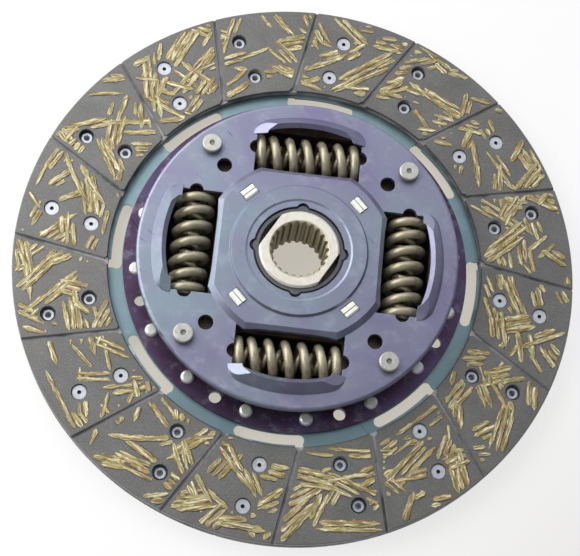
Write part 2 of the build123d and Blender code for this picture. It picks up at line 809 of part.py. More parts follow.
def rear_friction_spring():
    """Coned washer between the disc plate and the rear friction washer."""
    seat = flange_low - rear_washer_thickness
    return turned([
        (rear_washer_inner, disc_plate_high),
        (rear_washer_outer, seat - coned_sheet),
        (rear_washer_outer, seat),
        (rear_washer_inner, disc_plate_high + coned_sheet),
    ])


nodes = {
    "front_facing": front_seat * facing(),
    "rear_facing": rear_seat * facing(),
    "cushion_ring": cushion_ring(),
    "front_facing_rivets": Compound([front_seat * rivet for rivet in facing_rivets()]),
    "rear_facing_rivets": Compound([rear_seat * rivet for rivet in facing_rivets()]),
    "cushion_ring_rivets": Compound(cushion_ring_rivets()),
    "disc_plate": disc_plate(),
    "front_plate": front_plate(),
    "hub": hub(),
    "hub_flange": hub_flange(),
    "predamper_cage": predamper_cage(),
    "predamper_cover": predamper_cover(),
    "predamper_flange": predamper_flange(),
    "friction_ring": friction_ring(),
    "friction_spring": friction_spring(),
    "centring_bush": centring_bush(),
    "rear_bush": rear_bush(),
    "rear_friction_washer": rear_friction_washer(),
    "rear_friction_spring": rear_friction_spring(),
}
outer_spring = coil_spring(outer_spring_diameter, outer_wire_diameter, outer_spring_length,
                           outer_half_turns, outer_end_rise, ground_depth, 1)
inner_spring = coil_spring(inner_spring_diameter, inner_wire_diameter, outer_spring_length,
                           inner_half_turns, inner_end_rise, ground_depth, -1)
small_spring = coil_spring(small_spring_diameter, small_wire_diameter, small_spring_length,
                           small_half_turns, small_end_rise, small_ground_depth, 1)
for name, piece in {
    "stop_pin": stop_pin(),
    "outer_spring": Pos(0, outer_spring_centre, mid_height) * outer_spring,
    "inner_spring": Pos(0, outer_spring_centre, mid_height) * inner_spring,
    "predamper_spring": Pos(0, small_spring_centre, small_spring_height) * small_spring,
}.items():
    for number, copy in enumerate(around(piece, window_count), start=1):
        nodes[f"{name}_{number}"] = copy

os.makedirs("parts", exist_ok=True)
for name, solid in nodes.items():
    export_step(solid, f"parts/{name}.step")
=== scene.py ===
"""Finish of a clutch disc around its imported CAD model. Metres, +Z to the front of the disc."""

from functools import partial
from math import pi, radians

import bpy
from mathutils import Matrix, Vector


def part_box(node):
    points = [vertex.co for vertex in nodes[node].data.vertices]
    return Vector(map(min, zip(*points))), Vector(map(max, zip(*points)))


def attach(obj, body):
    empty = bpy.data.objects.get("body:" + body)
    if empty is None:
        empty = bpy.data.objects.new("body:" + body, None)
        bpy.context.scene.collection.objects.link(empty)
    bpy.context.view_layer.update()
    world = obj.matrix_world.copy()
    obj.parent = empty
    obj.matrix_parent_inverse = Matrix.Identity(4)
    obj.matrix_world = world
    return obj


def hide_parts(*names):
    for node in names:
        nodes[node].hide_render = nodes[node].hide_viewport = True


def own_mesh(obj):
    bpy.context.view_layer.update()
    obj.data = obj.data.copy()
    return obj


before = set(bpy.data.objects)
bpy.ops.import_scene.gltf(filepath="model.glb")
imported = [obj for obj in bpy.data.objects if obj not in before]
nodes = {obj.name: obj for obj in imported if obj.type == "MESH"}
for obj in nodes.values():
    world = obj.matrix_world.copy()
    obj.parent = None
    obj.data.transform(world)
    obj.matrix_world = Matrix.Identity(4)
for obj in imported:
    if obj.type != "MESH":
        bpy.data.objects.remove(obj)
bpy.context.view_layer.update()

MM = 0.001

# Heights read from the frame
face_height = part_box("front_facing")[1].z
hub_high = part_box("hub")[1].z
pin_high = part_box("stop_pin_1")[1].z

# Where a finish changes: a radius is from the axis and a level from the middle plane of the facings
middle_plane = face_height / 2
facing_bore_radius = 80 * MM
rivet_head_level = middle_plane - 0.9 * MM
rivet_tail_level = 1.95 * MM

# Wound yarn: short, nearly straight stretches that lie at all slants between the rims of a facing.
# The ray that looks for the face starts yarn_reach lifts above it. A bend is half a curvature, per metre.
bundle_count = 195
yarns_in_bundle = 3
yarn_share = 0.72
yarn_width = 3.1 * MM
yarn_height = 0.16 * MM
yarn_lift = 0.1 * MM
yarn_reach = 10.0
yarn_spacing = 2.5 * MM
yarn_lengths = (12 * MM, 46 * MM)
yarn_slant = radians(68)
yarn_bend = 7.0
yarn_step = 1.0 * MM
yarn_edge_gap = (0.5 * MM, 1.9 * MM)
yarn_least = 0.2 * MM
yarn_path_points = 32
yarn_section_points = 8
golden_share = 0.618034
winding_radius = 100 * MM
winding_reach = 18.5 * MM

# Springs: how much of its length a squeezed one keeps at the joint's longer limit
main_spring_kept = 0.45
small_spring_kept = 0.46

# Photograph's view
view_azimuth = 7.63
view_elevation = 71.25
view_roll = 13.89
view_distance = 608.58 * MM
view_target = (-1.94 * MM, -7.56 * MM, 8.5 * MM)
view_lens = 88.82

# Table: its height is below the yarns of the rear facing
table_reach = 3.0
table_height = -0.25 * MM
table_white = "#eae9e6"

# Lamps: place and size in metres, power in watts
lamps = {
    "window": ((-0.45, 1.0, 1.0), 2.2, 1.5, 6.5),
    "left": ((-0.5, 0.16, 0.36), 0.9, 0.7, 7.0),
}

MATH = "ShaderNodeMath"
VECTOR = "ShaderNodeVectorMath"
NOISE = "ShaderNodeTexNoise"
RAMP = "ShaderNodeValToRGB"
RANGE = "ShaderNodeMapRange"
MIX = "ShaderNodeMix"
SPLIT = "ShaderNodeSeparateXYZ"
JOIN = "ShaderNodeCombineXYZ"
STORE = "GeometryNodeStoreNamedAttribute"


def linear(code):
    """Linear RGBA of an sRGB hex code."""
    channels = [int(code[start:start + 2], 16) / 255 for start in (1, 3, 5)]
    return [c / 12.92 if c <= 0.04045 else ((c + 0.055) / 1.055) ** 2.4 for c in channels] + [1.0]


def add(tree, kind, inputs=None, stops=(), **settings):
    """Add a node and return its outputs.

    Inputs are given by name or number: a value, a hex code for a colour, or
    the socket to link from. Stops are a ramp's positions and hex codes.
    """
    node = tree.nodes.new(kind)
    for name, value in settings.items():
        setattr(node, name, value)
    for name, value in (inputs or {}).items():
        if isinstance(value, bpy.types.NodeSocket):
            tree.links.new(value, node.inputs[name])
        elif isinstance(value, str) and value.startswith("#"):
            node.inputs[name].default_value = linear(value)
        else:
            node.inputs[name].default_value = value
    for number, (position, code) in enumerate(stops):
        elements = node.color_ramp.elements
        element = elements[number] if number < len(elements) else elements.new(1.0)
        element.position = position
        element.color = linear(code)
    return node.outputs


def surface(name, paint, depth, edge, inputs):
    """New material.

    paint(put, place) returns the sockets of its textured inputs and of its
    relief, "Height", which is as deep as a size in metres. Edges look rounded
    by a radius. Inputs are the shader's plain values.
    """
    material = bpy.data.materials.new(name)
    material.use_nodes = True
    tree = material.node_tree
    shader = tree.nodes["Principled BSDF"]
    for key, value in inputs.items():
        shader.inputs[key].default_value = value
    put = partial(add, tree)
    textures = paint(put, put("ShaderNodeTexCoord")["Object"])
    rounded = put("ShaderNodeBevel", {"Radius": edge}, samples=4)[0]
    relief = {"Height": textures.pop("Height"), "Distance": depth, "Normal": rounded}
    textures["Normal"] = put("ShaderNodeBump", relief)[0]
    for key, socket in textures.items():
        tree.links.new(socket, shader.inputs[key])
    return material


def from_axis(put, place):
    """Distance from the disc's axis."""
    flat = put(VECTOR, {0: place, 1: (1.0, 1.0, 0.0)}, operation="MULTIPLY")[0]
    return put(VECTOR, {0: flat}, operation="LENGTH")[1]


def from_middle(put, place):
    """Distance from the middle plane of the facings, the same towards the front and the rear."""
    height = put(SPLIT, {0: place})[2]
    above = put(MATH, {0: height, 1: middle_plane}, operation="SUBTRACT")[0]
    return put(MATH, {0: above}, operation="ABSOLUTE")[0]


def compound(put, place):
    """Moulded friction compound: matt grey with fine specks; the walls of grooves and holes are painted
    paler as a painted highlight, and the bore wall and the groove floors are painted dark as painted shade,
    the floors paler towards the bore.
    """
    cloud = put(NOISE, {"Vector": place, "Scale": 1 / (14 * MM), "Detail": 4.0, "Roughness": 0.6})[0]
    colour = put(RAMP, {0: cloud}, stops=((0.3, "#4a4946"), (0.5, "#53524f"), (0.72, "#5d5c58")))[0]
    # The specks are about 0.2 mm on the real facing and are drawn at 0.6 mm, so that they show
    speck = put(NOISE, {"Vector": place, "Scale": 1 / (0.6 * MM), "Detail": 2.0, "Roughness": 0.7})[0]
    pale = put(RANGE, {0: speck, 1: 0.54, 2: 0.72, 4: 0.5})[0]
    colour = put(MIX, {0: pale, 6: colour, 7: "#86847e"}, data_type="RGBA")[2]
    dark = put(RANGE, {0: speck, 1: 0.46, 2: 0.3, 4: 0.6})[0]
    colour = put(MIX, {0: dark, 6: colour, 7: "#34332f"}, data_type="RGBA")[2]
    # Depth below either face tells the walls and the floors of grooves and holes
    level = from_middle(put, place)
    wall = put(RANGE, {0: level, 1: middle_plane - 0.05 * MM, 2: middle_plane - 0.3 * MM, 4: 0.8})[0]
    radius = from_axis(put, place)
    bore = put(RANGE, {0: radius, 1: facing_bore_radius + 0.6 * MM, 2: facing_bore_radius + 0.3 * MM})[0]
    # The wall at the bore is painted near-black as painted shade, and the other walls pale grey as a
    # painted highlight
    wall_colour = put(MIX, {0: bore, 6: "#8e8c8c", 7: "#31332d"}, data_type="RGBA")[2]
    colour = put(MIX, {0: wall, 6: colour, 7: wall_colour}, data_type="RGBA")[2]
    # The groove floors are painted dark as painted shade, and turn paler in patches towards the bore
    inward_paling = put(RANGE, {0: radius, 1: 112 * MM, 2: 84 * MM, 3: 0.35, 4: 1.0})[0]
    inward_paling = put(MATH, {0: inward_paling, 1: put(RANGE, {0: cloud, 1: 0.35, 2: 0.55})[0]}, operation="MULTIPLY")[0]
    floor = put(MIX, {0: inward_paling, 6: "#2e2d2b", 7: "#a3a1a4"}, data_type="RGBA")[2]
    low = put(RANGE, {0: level, 1: middle_plane - 0.8 * MM, 2: middle_plane - 1.25 * MM})[0]
    colour = put(MIX, {0: low, 6: colour, 7: floor}, data_type="RGBA")[2]
    return {"Base Color": colour, "Height": speck}


def yarn(put, place):
    """Glass yarn set in resin: golden fibres, with cream streaks that are painted glints and brown streaks
    that are painted shade between fibres, red specks and frayed edges.
    """
    fibre = put("ShaderNodeAttribute", attribute_name="fibre")[1]
    across = put(MATH, {0: put(SPLIT, {0: fibre})[1]}, operation="ABSOLUTE")[0]
    # Fibre strands are drawn 0.5 mm wide and wander along the yarn over about 6 mm, so that they show
    lanes = put(VECTOR, {0: fibre, 1: (1 / (6 * MM), 2.6, 1.0)}, operation="MULTIPLY")[0]
    strand = put(NOISE, {"Vector": lanes, "Scale": 1.0, "Detail": 3.0, "Roughness": 0.55,
                         "Distortion": 0.7})[0]
    # Painted light: the cream stops are painted glints, and the dark brown stops are painted shade between
    # the fibres
    colour = put(RAMP, {0: strand}, stops=(
        (0.33, "#504429"), (0.42, "#7d6d42"), (0.49, "#9a8e58"), (0.55, "#b5ac76"), (0.64, "#e6e3cc")))[0]
    # Some stretches of about 12 mm are drab
    lanes = put(VECTOR, {0: fibre, 1: (1 / (12 * MM), 0.6, 3.0)}, operation="MULTIPLY")[0]
    drab = put(NOISE, {"Vector": lanes, "Scale": 1.0})[0]
    drab = put(RANGE, {0: drab, 1: 0.48, 2: 0.68, 4: 0.55})[0]
    colour = put(MIX, {0: drab, 6: colour, 7: "#85765a"}, data_type="RGBA")[2]
    spot = put(NOISE, {"Vector": place, "Scale": 1 / (1.3 * MM), "Detail": 2.0, "Roughness": 0.6})[0]
    # The edges fray: brown first, then hidden under compound
    fray = put(MATH, {0: spot, 1: 1.1, 2: across}, operation="MULTIPLY_ADD")[0]
    brown = put(RANGE, {0: fray, 1: 1.1, 2: 1.4, 4: 0.75})[0]
    colour = put(MIX, {0: brown, 6: colour, 7: "#7a5530"}, data_type="RGBA")[2]
    red = put(NOISE, {"Vector": place, "Scale": 1 / (2.1 * MM), "Detail": 1.0})[0]
    red = put(RANGE, {0: red, 1: 0.66, 2: 0.74, 4: 0.8})[0]
    colour = put(MIX, {0: red, 6: colour, 7: "#a8502c"}, data_type="RGBA")[2]
    hidden = put(RANGE, {0: fray, 1: 1.42, 2: 1.52})[0]
    colour = put(MIX, {0: hidden, 6: colour, 7: "#53524f"}, data_type="RGBA")[2]
    return {"Base Color": colour, "Height": strand}


def plain(low, high, size, roughness):
    """Paint function: a colour that wanders between two hex codes over a size, with a satin grain."""
    def paint(put, place):
        # The grain is about 0.05 mm on the real pieces and is drawn at 0.6 mm, so that it shows
        wear = put(NOISE, {"Vector": place, "Scale": 1 / size, "Detail": 5.0, "Roughness": 0.62})[0]
        gloss = put(RANGE, {0: wear, 1: 0.3, 2: 0.7, 3: roughness - 0.06, 4: roughness + 0.07})[0]
        grain = put(NOISE, {"Vector": place, "Scale": 1 / (0.6 * MM), "Detail": 3.0})[0]
        return {"Base Color": put(RAMP, {0: wear}, stops=((0.3, low), (0.7, high)))[0],
                "Roughness": gloss, "Height": grain}
    return paint


def tempered(stops, stain, size):
    """Paint function: temper colours in soft blotches, with darker stains and rubbed patches."""
    def paint(put, place):
        blotch = put(NOISE, {"Vector": place, "Scale": 1 / size, "Detail": 3.0, "Roughness": 0.55,
                             "Distortion": 0.5})[0]
        colour = put(RAMP, {0: blotch}, stops=stops)[0]
        rub = put(NOISE, {"Vector": place, "Scale": 1 / (7 * MM), "Detail": 6.0, "Roughness": 0.68})[0]
        pale = put(RANGE, {0: rub, 1: 0.52, 2: 0.75, 4: 0.35})[0]
        colour = put(MIX, {0: pale, 6: colour, 7: "#b4b7c0"}, data_type="RGBA")[2]
        # Handling marks run across the plate, about 1.7 mm wide and 11 mm long
        turned = put("ShaderNodeVectorRotate", {"Vector": place, "Angle": 0.7}, rotation_type="Z_AXIS")[0]
        lanes = put(VECTOR, {0: turned, 1: (90.0, 600.0, 90.0)}, operation="MULTIPLY")[0]
        mark = put(NOISE, {"Vector": lanes, "Scale": 1.0, "Detail": 2.0})[0]
        mark = put(RANGE, {0: mark, 1: 0.68, 2: 0.76, 4: 0.6})[0]
        colour = put(MIX, {0: mark, 6: colour, 7: stain}, data_type="RGBA")[2]
        gloss = put(RANGE, {0: rub, 1: 0.3, 2: 0.7, 3: 0.36, 4: 0.5})[0]
        # The rolled grain is finer than a pixel and is drawn at 0.9 mm
        grain = put(NOISE, {"Vector": place, "Scale": 1 / (0.9 * MM), "Detail": 3.0})[0]
        return {"Base Color": colour, "Roughness": gloss, "Height": grain}
    return paint


def riveted(put, place):
    """Tinned rivets: the cushion ring's ones are painted palest as a painted highlight, and the dimples of
    the facings' ones are painted dark olive.
    """
    textures = plain("#aeb0b7", "#c9cbd0", 1.5 * MM, 0.42)(put, place)
    level = from_middle(put, place)
    below = put(RANGE, {0: level, 1: rivet_head_level - 0.1 * MM, 2: rivet_head_level - 0.3 * MM})[0]
    above = put(RANGE, {0: level, 1: rivet_tail_level + 0.12 * MM, 2: rivet_tail_level + 0.25 * MM})[0]
    outside = put(MATH, {0: from_axis(put, place), 1: facing_bore_radius}, operation="GREATER_THAN")[0]
    # The dimples of the facings' rivets, between the head and tail levels, are painted dark olive
    dimple = put(MATH, {0: below, 1: above}, operation="MULTIPLY")[0]
    dimple = put(MATH, {0: dimple, 1: outside}, operation="MULTIPLY")[0]
    # The cushion ring's rivets, inside the facings' bore, are painted palest: a painted highlight
    colour = put(MIX, {0: outside, 6: "#dcdfd8", 7: textures["Base Color"]}, data_type="RGBA")[2]
    colour = put(MIX, {0: dimple, 6: colour, 7: "#3c3b2c"}, data_type="RGBA")[2]
    return textures | {"Base Color": colour}


def pinned(put, place):
    """Turned stop pins: bright tops, with their sides and dimples painted darker as painted shade."""
    textures = plain("#a9a9a5", "#c2c1ba", 1.5 * MM, 0.42)(put, place)
    height = put(SPLIT, {0: place})[2]
    # Below the top the pin is painted darker: painted shade on its sides and in its dimple
    below = put(RANGE, {0: height, 1: pin_high - 0.3 * MM, 2: pin_high - 0.6 * MM, 4: 0.75})[0]
    colour = put(MIX, {0: below, 6: textures["Base Color"], 7: "#6d6a5e"}, data_type="RGBA")[2]
    return textures | {"Base Color": colour}


def machined_hub(put, place):
    """Machined hub: cream end face, with painted shade: olive-brown walls in the spline and a tan chamfer
    at its mouth.
    """
    textures = plain("#cdc8bb", "#e0dcd0", 2 * MM, 0.45)(put, place)
    radius = from_axis(put, place)
    height = put(SPLIT, {0: place})[2]
    # The spline's walls below the face are painted olive-brown: painted shade inside the bore
    bore = put(RANGE, {0: radius, 1: 12.75 * MM, 2: 12.45 * MM})[0]
    below = put(RANGE, {0: height, 1: hub_high - 0.3 * MM, 2: hub_high - 0.9 * MM})[0]
    wall = put(MATH, {0: bore, 1: below}, operation="MULTIPLY")[0]
    colour = put(MIX, {0: wall, 6: textures["Base Color"], 7: "#8a8262"}, data_type="RGBA")[2]
    # The chamfer at the mouth is painted tan: painted shade
    mouth = put(RANGE, {0: radius, 1: 13.1 * MM, 2: 12.7 * MM, 4: 0.35})[0]
    colour = put(MIX, {0: mouth, 6: colour, 7: "#a79b80"}, data_type="RGBA")[2]
    return textures | {"Base Color": colour}


violet_stops = ((0.30, "#84949d"), (0.44, "#858c9c"), (0.56, "#85859b"), (0.72, "#7d7895"))
teal_stops = ((0.30, "#728b93"), (0.50, "#7f969e"), (0.70, "#788f90"))
plum_stops = ((0.30, "#43324a"), (0.50, "#4e3a53"), (0.70, "#514967"))
tempered_steel = {"Metallic": 0.85}
bare_steel = {"Metallic": 0.65}
plastic = {"Metallic": 0.0}

materials = {
    # Pressed sheet steel under a thin temper film: violet-grey metal, satin, in soft blotches
    "front_plate_steel": surface("violet_tempered_plate", tempered(violet_stops, "#453a72", 44 * MM),
                                 0.012 * MM, 0.3 * MM, tempered_steel),
    # The same sheet under a thicker film: dark plum, in smaller blotches
    "rear_plate_steel": surface("plum_tempered_plate", tempered(plum_stops, "#2a1d30", 22 * MM),
                                0.012 * MM, 0.3 * MM, tempered_steel),
    # Blued spring steel strip, stamped: teal-grey and smooth, with crisp edges
    "cushion_steel": surface("blued_spring_steel", tempered(teal_stops, "#466c78", 30 * MM),
                             0.008 * MM, 0.15 * MM, tempered_steel),
    # Tinned steel, headed cold: the brightest metal, with broad soft highlights
    "rivet_steel": surface("tinned_rivet_steel", riveted, 0.012 * MM, 0.2 * MM, bare_steel),
    # Turned steel: pale warm grey
    "pin_steel": surface("turned_pin_steel", pinned, 0.012 * MM, 0.3 * MM, bare_steel),
    # Broached and faced steel: cream and nearly matt, so it takes little of the room
    "hub_steel": surface("broached_hub_steel", machined_hub, 0.02 * MM, 0.2 * MM, {"Metallic": 0.3}),
    # Hardened sheet steel: scaled brown, dark between the plates
    "flange_steel": surface("brown_hardened_steel", plain("#4a3d37", "#6b5c52", 6 * MM, 0.42),
                            0.012 * MM, 0.2 * MM, tempered_steel),
    # Shot-peened and oiled spring wire: taupe, with soft broad highlights along each turn
    "spring_steel": surface("peened_spring_wire", plain("#989079", "#aea68e", 2.5 * MM, 0.36),
                            0.02 * MM, 0.0, {"Metallic": 0.5}),
    # Bare spring steel, coned: plain dark grey
    "washer_steel": surface("coned_washer_steel", plain("#5a5a60", "#7a7a80", 5 * MM, 0.4),
                            0.012 * MM, 0.15 * MM, tempered_steel),
    # Moulded polyamides: one undyed, off-white, one filled with glass, grey, and one black, all satin
    "white_moulding": surface("natural_polyamide", plain("#dde0d3", "#eceee4", 3 * MM, 0.42),
                              0.02 * MM, 0.3 * MM, plastic),
    "grey_moulding": surface("filled_grey_polyamide", plain("#47474c", "#57575d", 3 * MM, 0.45),
                             0.02 * MM, 0.3 * MM, plastic),
    "black_moulding": surface("black_polyamide", plain("#1d1d1f", "#29292b", 3 * MM, 0.5),
                              0.02 * MM, 0.3 * MM, plastic),
    # Moulded friction compound, ground flat: matt grey, with a sheen where light comes in low
    "friction_facing": surface("moulded_friction_compound", compound, 0.04 * MM, 0.15 * MM,
                               {"Roughness": 0.52, "Specular IOR Level": 0.9}),
}
# Glass yarn wound in and ground with the compound: fibres with painted glints and painted shade, one by one
yarn_material = surface("resin_set_yarn", yarn, 0.05 * MM, 0.0, {"Roughness": 0.6})


def dress_frame():
    """Give every CAD node the finish that its record's slot stands for."""
    for node in nodes.values():
        for slot in node.material_slots:
            slot.material = materials[slot.material.name]


def yarn_tree():
    """Geometry nodes that wind flat yarns over one face of a facing.

    Each bundle is a short stretch with a slant and a slight bend of its own.
    A yarn thins out towards its ends and towards the walls of the grooves,
    the holes and the rims.
    """
    tree = bpy.data.node_groups.new("wound_yarn", "GeometryNodeTree")
    for name, kind in (
        ("Facing", "Object"), ("Bundles", "Int"), ("Yarn width", "Float"), ("Yarn height", "Float"),
        ("Face", "Float"), ("Lift", "Float"), ("Seed", "Int"),
    ):
        tree.interface.new_socket(name, in_out="INPUT", socket_type=f"NodeSocket{kind}")
    tree.interface.new_socket("Mesh", in_out="OUTPUT", socket_type="NodeSocketGeometry")
    put = partial(add, tree)
    given = put("NodeGroupInput")
    point = put("GeometryNodeInputPosition")[0]

    # One point per yarn, with the random values of its bundle and its own
    count = put(MATH, {0: given["Bundles"], 1: yarns_in_bundle}, operation="MULTIPLY")[0]
    points = put("GeometryNodePoints", {"Count": count})[0]
    index = put("GeometryNodeInputIndex")[0]
    bundle = put(MATH, {0: index, 1: yarns_in_bundle}, operation="DIVIDE")[0]
    bundle = put(MATH, {0: bundle}, operation="FLOOR")[0]
    kept = {}
    for number, (name, low, high, each) in enumerate((
        ("start", 0.2, 0.8, bundle),
        ("outwards", -0.06, 0.06, bundle),
        ("slant", -yarn_slant, yarn_slant, bundle),
        ("turn", -0.06, 0.06, index),
        ("bend", -yarn_bend, yarn_bend, bundle),
        ("stagger", -2.5 * MM, 2.5 * MM, index),
        ("length", 0.0, 1.0, bundle),
        ("shorter", 0.4, 1.0, index),
        ("thick", 0.65, 1.1, index),
        ("lift", 0.2, 1.0, bundle),
        ("number", 0.0, 40.0, index),
        ("present", 0.0, 1.0, index),
    )):
        seed = put(MATH, {0: given["Seed"], 1: float(number)}, operation="ADD")[0]
        value = put("FunctionNodeRandomValue", {2: low, 3: high, "ID": each, "Seed": seed},
                    data_type="FLOAT")[1]
        points = put(STORE, {"Geometry": points, "Name": name, "Value": value},
                     data_type="FLOAT", domain="POINT")[0]
        kept[name] = put("GeometryNodeInputNamedAttribute", {"Name": name}, data_type="FLOAT")[0]
    beside = put(MATH, {0: index, 1: yarns_in_bundle}, operation="MODULO")[0]
    for name, value in (("beside", beside), ("bundle", bundle)):
        points = put(STORE, {"Geometry": points, "Name": name, "Value": value},
                     data_type="FLOAT", domain="POINT")[0]
        kept[name] = put("GeometryNodeInputNamedAttribute", {"Name": name}, data_type="FLOAT")[0]
    absent = put("FunctionNodeCompare", {0: kept["present"], 1: yarn_share}, operation="GREATER_THAN")[0]
    points = put("GeometryNodeDeleteGeometry", {"Geometry": points, "Selection": absent}, domain="POINT")[0]
    line = put("GeometryNodeCurvePrimitiveLine", {"Start": (0.0, 0.0, 0.0), "End": (1.0, 0.0, 0.0)})[0]
    line = put("GeometryNodeResampleCurve", {"Curve": line, "Count": yarn_path_points})[0]
    lines = put("GeometryNodeInstanceOnPoints", {"Points": points, "Instance": line})[0]
    lines = put("GeometryNodeRealizeInstances", {"Geometry": lines})[0]

    # Path about its own middle: short stretches are commoner than long ones, and a bundle's yarns lie
    # side by side
    share = put("GeometryNodeSplineParameter")
    length = put(MATH, {0: kept["length"], 1: 1.5}, operation="POWER")[0]
    length = put(RANGE, {0: length, 3: yarn_lengths[0], 4: yarn_lengths[1]})[0]
    length = put(MATH, {0: length, 1: kept["shorter"]}, operation="MULTIPLY")[0]
    middle = put(MATH, {0: share["Factor"], 1: 0.5}, operation="SUBTRACT")[0]
    onward = put(MATH, {0: middle, 1: length, 2: kept["stagger"]}, operation="MULTIPLY_ADD")[0]
    bent = put(MATH, {0: onward, 1: 2.0}, operation="POWER")[0]
    bent = put(MATH, {0: bent, 1: kept["bend"]}, operation="MULTIPLY")[0]
    beside = put(MATH, {0: kept["beside"], 1: yarn_spacing, 2: bent}, operation="MULTIPLY_ADD")[0]
    slant = put(MATH, {0: kept["slant"], 1: kept["turn"]}, operation="ADD")[0]
    spot = put("ShaderNodeVectorRotate", {"Vector": put(JOIN, {0: beside, 1: onward})[0], "Angle": slant},
               rotation_type="Z_AXIS")[0]
    # The middles are spread evenly round the facing and, by the golden ratio, between its rims
    outwards = put(MATH, {0: kept["bundle"], 1: golden_share, 2: kept["outwards"]},
                   operation="MULTIPLY_ADD")[0]
    outwards = put(RANGE, {0: put(MATH, {0: outwards}, operation="FRACT")[0],
                           3: winding_radius - winding_reach, 4: winding_radius + winding_reach})[0]
    height = put(MATH, {0: kept["lift"], 1: given["Lift"], 2: given["Face"]}, operation="MULTIPLY_ADD")[0]
    spot = put(VECTOR, {0: spot, 1: put(JOIN, {0: outwards, 2: height})[0]}, operation="ADD")[0]
    bearing = put(MATH, {0: kept["bundle"], 1: kept["start"]}, operation="ADD")[0]
    bearing = put(MATH, {0: bearing, 1: given["Bundles"]}, operation="DIVIDE")[0]
    bearing = put(MATH, {0: bearing, 1: 2 * pi}, operation="MULTIPLY")[0]
    spot = put("ShaderNodeVectorRotate", {"Vector": spot, "Angle": bearing}, rotation_type="Z_AXIS")[0]
    wound = put("GeometryNodeSetPosition", {"Geometry": lines, "Position": spot})[0]
    wound = put("GeometryNodeResampleCurve", {"Curve": wound, "Length": yarn_step}, mode="LENGTH")[0]

    # Walls of the facing: all of it but the flat face
    facing = put("GeometryNodeObjectInfo", {"Object": given["Facing"]},
                 transform_space="RELATIVE")["Geometry"]
    axes = put(SPLIT, {0: point})
    flat = put(MATH, {0: axes[2], 1: given["Face"], 2: 0.05 * MM}, operation="COMPARE")[0]
    walls = put("GeometryNodeDeleteGeometry", {"Geometry": facing, "Selection": flat}, domain="FACE")[0]
    wall_gap = put("GeometryNodeProximity", {0: walls}, target_element="FACES")["Distance"]

    # A ray towards the face hits it everywhere but over a hole, over a groove and past a rim
    over = put(MATH, {0: given["Lift"], 1: yarn_reach, 2: given["Face"]}, operation="MULTIPLY_ADD")[0]
    above = put(JOIN, {0: axes[0], 1: axes[1], 2: over})[0]
    towards = put(JOIN, {2: put(MATH, {0: given["Lift"], 1: -1.0}, operation="MULTIPLY")[0]})[0]
    on_face = put("GeometryNodeRaycast", {
        "Target Geometry": facing, "Source Position": above, "Ray Direction": towards,
        "Ray Length": (yarn_reach + 1) * yarn_lift})["Is Hit"]

    # Half width at each point of a yarn
    rest = put(MATH, {0: 1.0, 1: share["Factor"]}, operation="SUBTRACT")[0]
    ends = put(MATH, {0: share["Factor"], 1: rest}, operation="MINIMUM")[0]
    width = put(RANGE, {0: ends, 1: -0.03, 2: 0.12, 4: 1.0})[0]
    ragged = put(NOISE, {"Vector": point, "Scale": 1 / (3 * MM), "Detail": 2.0})[0]
    for factor in (
        put(RANGE, {0: wall_gap, 1: yarn_edge_gap[0], 2: yarn_edge_gap[1]},
            interpolation_type="SMOOTHSTEP")[0],
        put(RANGE, {0: ragged, 1: 0.3, 2: 0.7, 3: 0.7, 4: 1.15})[0],
        kept["thick"],
        on_face,
        put(MATH, {0: given["Yarn width"], 1: 0.5}, operation="MULTIPLY")[0],
    ):
        width = put(MATH, {0: width, 1: factor}, operation="MULTIPLY")[0]
    room = put(MATH, {0: wall_gap, 1: 0.15 * MM}, operation="SUBTRACT")[0]
    width = put(MATH, {0: width, 1: room}, operation="MINIMUM")[0]
    for name, value in (("half", width), ("along", share["Length"])):
        wound = put(STORE, {"Geometry": wound, "Name": name, "Value": value},
                    data_type="FLOAT", domain="POINT")[0]
        kept[name] = put("GeometryNodeInputNamedAttribute", {"Name": name}, data_type="FLOAT")[0]
    # A path breaks where its yarn would be too thin. It is made edges for that, because the points of a
    # curve join up across a gap
    thin = put("FunctionNodeCompare", {0: kept["half"], 1: yarn_least}, operation="LESS_THAN")[0]
    wound = put("GeometryNodeCurveToMesh", {"Curve": wound})[0]
    wound = put("GeometryNodeDeleteGeometry", {"Geometry": wound, "Selection": thin}, domain="POINT")[0]
    wound = put("GeometryNodeMeshToCurve", {"Mesh": wound})[0]
    wound = put("GeometryNodeSetCurveNormal", {"Curve": wound}, mode="Z_UP")[0]

    # Flat section of unit half width, swept along the paths
    section = put("GeometryNodeCurvePrimitiveCircle", {"Resolution": yarn_section_points, "Radius": 1.0})[0]
    flatness = put(MATH, {0: given["Yarn height"], 1: given["Yarn width"]}, operation="DIVIDE")[0]
    flatness = put(JOIN, {0: 1.0, 1: flatness, 2: 1.0})[0]
    section = put("GeometryNodeTransform", {"Geometry": section, "Scale": flatness})[0]
    section = put(STORE, {"Geometry": section, "Name": "across", "Value": axes[0]},
                  data_type="FLOAT", domain="POINT")[0]
    across = put("GeometryNodeInputNamedAttribute", {"Name": "across"}, data_type="FLOAT")[0]
    mesh = put("GeometryNodeCurveToMesh", {
        "Curve": wound, "Profile Curve": section, "Scale": kept["half"], "Fill Caps": True})[0]
    fibre = put(JOIN, {0: kept["along"], 1: across, 2: kept["number"]})[0]
    mesh = put(STORE, {"Geometry": mesh, "Name": "fibre", "Value": fibre},
               data_type="FLOAT_VECTOR", domain="POINT")[0]
    mesh = put("GeometryNodeSetShadeSmooth", {"Geometry": mesh})[0]
    mesh = put("GeometryNodeRealizeInstances", {"Geometry": mesh})[0]
    mesh = put("GeometryNodeSetMaterial", {"Geometry": mesh, "Material": yarn_material})[0]
    put("NodeGroupOutput", {0: mesh})
    return tree


